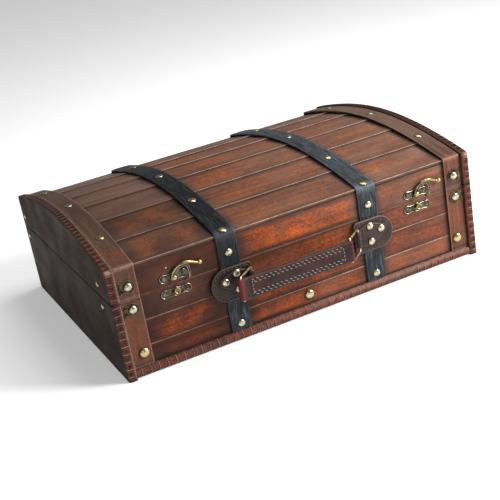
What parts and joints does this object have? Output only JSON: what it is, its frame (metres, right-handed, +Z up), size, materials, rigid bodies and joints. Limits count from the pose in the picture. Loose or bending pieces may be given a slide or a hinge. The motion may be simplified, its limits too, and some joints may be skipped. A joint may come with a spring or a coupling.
{
  "type": "wooden box",
  "caption": "Planked wooden box with an arched hinged lid, leather straps, a swinging leather handle on wire rings and hook latches.",
  "frame": {"origin": "the middle of the box's underside, on the plane it rests on", "axes": "+X along the box towards its right end seen from the front, -Y out of the front with the handle and latches, +Z up"},
  "size_m": [0.4228, 0.3433, 0.1417],
  "materials": {
    "panel_wood": "dark stained solid wood, satin",
    "plank_wood": "cherry red stained planks with burnt edges, satin varnish",
    "slat_wood": "brown stained slats with worn light edges, satin varnish",
    "strip_wood": "olive brown stained strips, satin",
    "strap_leather": "blue black leather strap with fine grain, worn at the folds",
    "handle_leather": "dark brown stitched leather",
    "stud_brass": "aged brass, polished domes",
    "bronze": "antique bronze plate"
  },
  "bodies": {
    "base": {"base_end_panel_left": "panel_wood", "base_end_panel_right": "panel_wood", "base_bottom_board": "plank_wood", "base_front_plank_lower": "plank_wood", "base_front_plank_middle": "plank_wood", "base_front_plank_upper": "plank_wood", "base_back_plank_lower": "plank_wood", "base_back_plank_middle": "plank_wood", "base_back_plank_upper": "plank_wood", "base_stile_front_left": "strip_wood", "base_stile_front_right": "strip_wood", "base_stile_back_left": "strip_wood", "base_stile_back_right": "strip_wood", "base_strap_front_left": "strap_leather", "base_strap_front_right": "strap_leather", "base_strap_back_left": "strap_leather", "base_strap_back_right": "strap_leather", "base_stud_patch_left": "bronze", "base_stud_patch_right": "bronze", "front_centre_stud": "stud_brass", "handle_plate_left": "handle_leather", "handle_plate_right": "handle_leather", "handle_tab_left": "handle_leather", "handle_tab_right": "handle_leather", "latch_keeper_left": "bronze", "latch_keeper_right": "bronze", "hinge_base_leaf_left": "bronze", "hinge_base_leaf_right": "bronze", "hinge_pin_left": "bronze", "hinge_pin_right": "bronze"},
    "lid": {"lid_end_panel_left": "panel_wood", "lid_end_panel_right": "panel_wood", "lid_slat_1": "slat_wood", "lid_slat_2": "slat_wood", "lid_slat_3": "slat_wood", "lid_slat_4": "slat_wood", "lid_slat_5": "slat_wood", "lid_slat_6": "slat_wood", "lid_front_plank": "plank_wood", "lid_back_plank": "plank_wood", "lid_end_strip_left": "strip_wood", "lid_end_strip_right": "strip_wood", "lid_strap_left": "strap_leather", "lid_strap_right": "strap_leather", "lid_stud_patch_left": "bronze", "lid_stud_patch_right": "bronze", "latch_plate_left": "bronze", "latch_plate_right": "bronze", "hinge_lid_leaf_left": "bronze", "hinge_lid_leaf_right": "bronze"},
    "latch_left": {"latch_hook_left": "bronze"},
    "latch_right": {"latch_hook_right": "bronze"},
    "ring_left": {"handle_ring_left": "stud_brass"},
    "ring_right": {"handle_ring_right": "stud_brass"},
    "grip": {"handle_grip": "handle_leather"}
  },
  "joints": [
    {"name": "lid_hinge", "type": "hinge", "parent": "base", "child": "lid", "pos_m": [0, 0.1592, 0.0835], "axis": [-1, 0, 0], "range_deg": [0, 105]},
    {"name": "latch_left_swing", "type": "hinge", "parent": "lid", "child": "latch_left", "pos_m": [-0.142, -0.155, 0.09], "axis": [0, 1, 0], "range_deg": [0, 90]},
    {"name": "latch_right_swing", "type": "hinge", "parent": "lid", "child": "latch_right", "pos_m": [0.142, -0.155, 0.09], "axis": [0, 1, 0], "range_deg": [0, 90]},
    {"name": "ring_left_swing", "type": "hinge", "parent": "base", "child": "ring_left", "pos_m": [-0.0628, -0.1598, 0.0637], "axis": [0, 0, 1], "range_deg": [-17, 114.8]},
    {"name": "ring_right_swing", "type": "hinge", "parent": "base", "child": "ring_right", "pos_m": [0.0628, -0.1598, 0.0637], "axis": [0, 0, 1], "range_deg": [-17, 114.8]},
    {"name": "grip_pivot", "type": "hinge", "parent": "ring_left", "child": "grip", "pos_m": [-0.08405, -0.17834, 0.0637], "axis": [0, 0, 1], "range_deg": [-114.8, 17]}
  ],
  "couplings": [
    {"joint": "ring_right_swing", "follows": "ring_left_swing", "ratio": 1},
    {"joint": "grip_pivot", "follows": "ring_left_swing", "ratio": -1}
  ]
}
